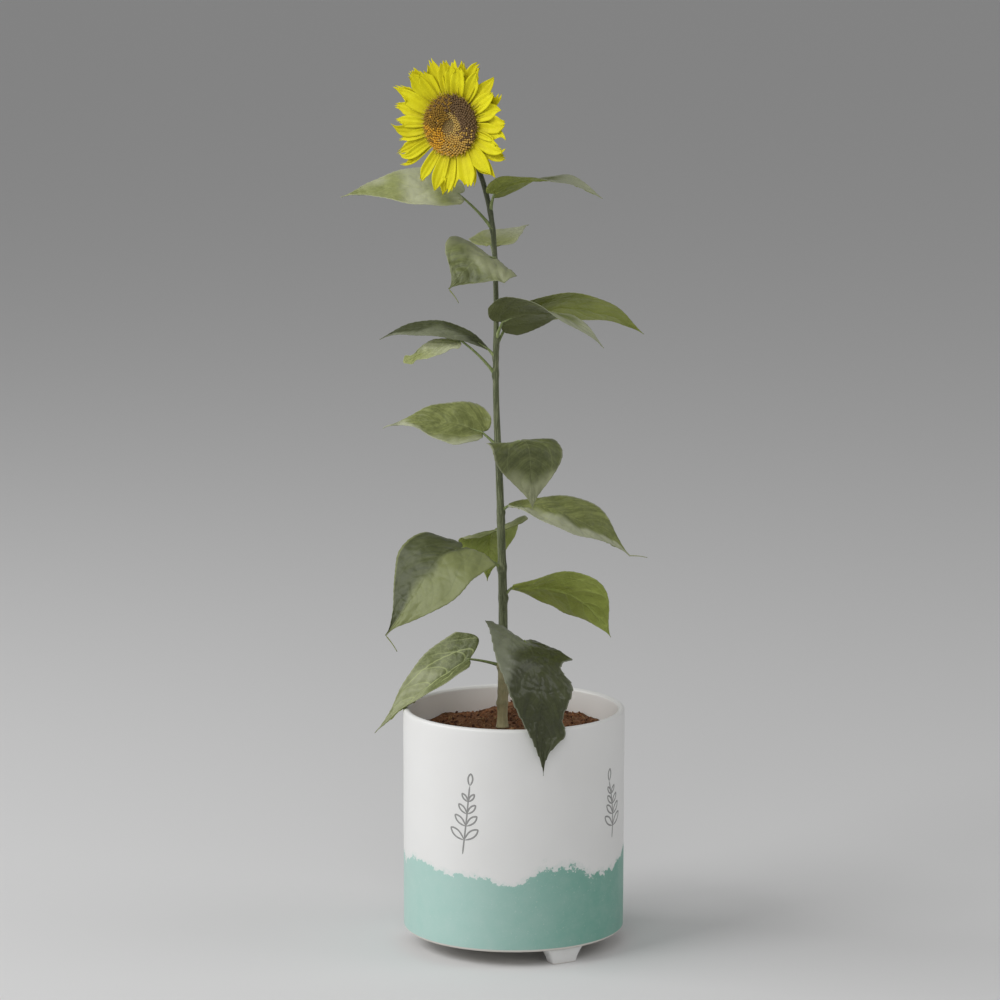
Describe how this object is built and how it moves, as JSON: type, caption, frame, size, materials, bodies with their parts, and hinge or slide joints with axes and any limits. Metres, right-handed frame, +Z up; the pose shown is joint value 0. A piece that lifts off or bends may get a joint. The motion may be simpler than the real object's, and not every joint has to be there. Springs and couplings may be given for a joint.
{
  "type": "potted sunflower plant",
  "caption": "Young sunflower in a footed, glazed cylinder pot: slender leaning stem, stalked heart-shaped leaves that arch and droop, and a yellow flower head turned to the side",
  "frame": {"origin": "Middle of the whole plant's box on the floor, level with the undersides of the pot's feet", "axes": "+Z up along the stem, -Y the front, +X right as seen from the front"},
  "size_m": [0.338, 0.267, 1.0068],
  "materials": {
    "glaze": "satin white glaze, mint glaze sponged round the lower part",
    "soil": "loose moist potting mix",
    "stem": "green, ribbed and slightly hairy",
    "leaf": "matte, dull green above and yellower beneath",
    "florets": "matte brown tubular florets",
    "petals": "matte yellow",
    "bracts": "matte green"
  },
  "bodies": {
    "root": {"pot": "glaze", "pot_foot_front_right": "glaze", "pot_foot_back_right": "glaze", "pot_foot_left": "glaze", "soil": "soil", "stem": "stem", "leaf_bottom_front": "leaf", "leaf_bottom_left": "leaf", "leaf_high_left_lower": "leaf", "leaf_high_left_upper": "leaf", "leaf_high_right_back": "leaf", "leaf_high_right_front": "leaf", "leaf_low_back": "leaf", "leaf_low_left": "leaf", "leaf_low_right": "leaf", "leaf_middle_front": "leaf", "leaf_middle_left": "leaf", "leaf_middle_right": "leaf", "leaf_top_back": "leaf", "leaf_top_front": "leaf", "leaf_upper_left": "leaf", "leaf_upper_right": "leaf", "stalk_bottom_front": "stem", "stalk_bottom_left": "stem", "stalk_high_left_lower": "stem", "stalk_high_left_upper": "stem", "stalk_high_right_back": "stem", "stalk_high_right_front": "stem", "stalk_low_back": "stem", "stalk_low_left": "stem", "stalk_low_right": "stem", "stalk_middle_front": "stem", "stalk_middle_left": "stem", "stalk_middle_right": "stem", "stalk_top_back": "stem", "stalk_top_front": "stem", "stalk_upper_left": "stem", "stalk_upper_right": "stem", "flower_disc": "florets", "flower_rays": "petals", "flower_cup": "bracts"}
  },
  "joints": []
}
